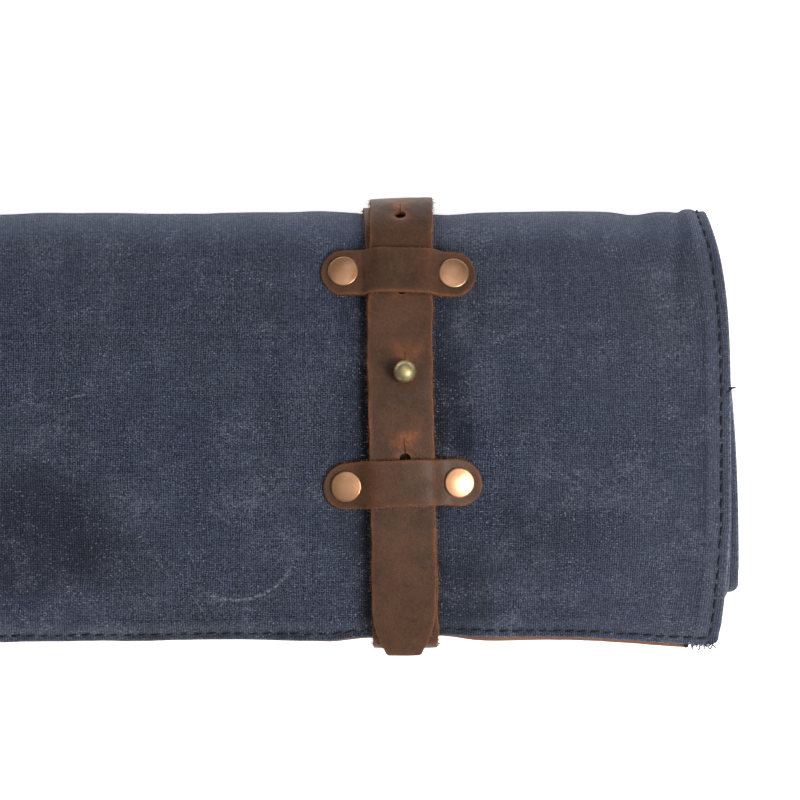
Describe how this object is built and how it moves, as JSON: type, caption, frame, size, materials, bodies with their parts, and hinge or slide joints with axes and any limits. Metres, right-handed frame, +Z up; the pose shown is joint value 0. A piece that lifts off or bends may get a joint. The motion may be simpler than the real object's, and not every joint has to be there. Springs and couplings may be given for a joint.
{
  "type": "carving tool roll",
  "caption": "Rolled waxed-canvas tool roll with a leather-faced front flap, held shut by two lapped leather straps with riveted keepers and ball studs.",
  "frame": {"origin": "middle of the footprint, on the surface the roll lies on", "axes": "+X along the roll, +Y across it towards its top fold, +Z up through the front flap"},
  "size_m": [0.364, 0.14, 0.0526],
  "materials": {
    "waxed_canvas": "waxed duck canvas, matt, scuffed",
    "cotton_lining": "plain cotton",
    "facing_leather": "oiled leather, matt",
    "strap_leather": "oiled pull-up leather, satin",
    "rivet_copper": "antiqued copper plate, satin",
    "stud_brass": "polished solid brass"
  },
  "bodies": {
    "roll": {"outer_cover": "waxed_canvas", "leather_facing": "facing_leather", "lining": "cotton_lining", "pocket_panel": "waxed_canvas", "tool_flap": "waxed_canvas", "right_strap": "strap_leather", "right_stud": "stud_brass", "right_stud_screw": "stud_brass", "right_upper_keeper": "strap_leather", "right_upper_outer_rivet_cap": "rivet_copper", "right_upper_outer_rivet_base": "rivet_copper", "right_upper_inner_rivet_cap": "rivet_copper", "right_upper_inner_rivet_base": "rivet_copper", "right_lower_keeper": "strap_leather", "right_lower_outer_rivet_cap": "rivet_copper", "right_lower_outer_rivet_base": "rivet_copper", "right_lower_inner_rivet_cap": "rivet_copper", "right_lower_inner_rivet_base": "rivet_copper", "left_strap": "strap_leather", "left_stud": "stud_brass", "left_stud_screw": "stud_brass", "left_upper_keeper": "strap_leather", "left_upper_outer_rivet_cap": "rivet_copper", "left_upper_outer_rivet_base": "rivet_copper", "left_upper_inner_rivet_cap": "rivet_copper", "left_upper_inner_rivet_base": "rivet_copper", "left_lower_keeper": "strap_leather", "left_lower_outer_rivet_cap": "rivet_copper", "left_lower_outer_rivet_base": "rivet_copper", "left_lower_inner_rivet_cap": "rivet_copper", "left_lower_inner_rivet_base": "rivet_copper"},
    "right_strap_tail": {"right_strap_tail": "strap_leather"},
    "left_strap_tail": {"left_strap_tail": "strap_leather"}
  },
  "joints": [
    {"name": "right_tail_lift", "type": "hinge", "parent": "roll", "child": "right_strap_tail", "pos_m": [0.078, -0.0273, 0.04459], "axis": [-1, 0, 0], "range_deg": [0, 75]},
    {"name": "left_tail_lift", "type": "hinge", "parent": "roll", "child": "left_strap_tail", "pos_m": [-0.078, -0.0273, 0.04459], "axis": [-1, 0, 0], "range_deg": [0, 75]}
  ]
}
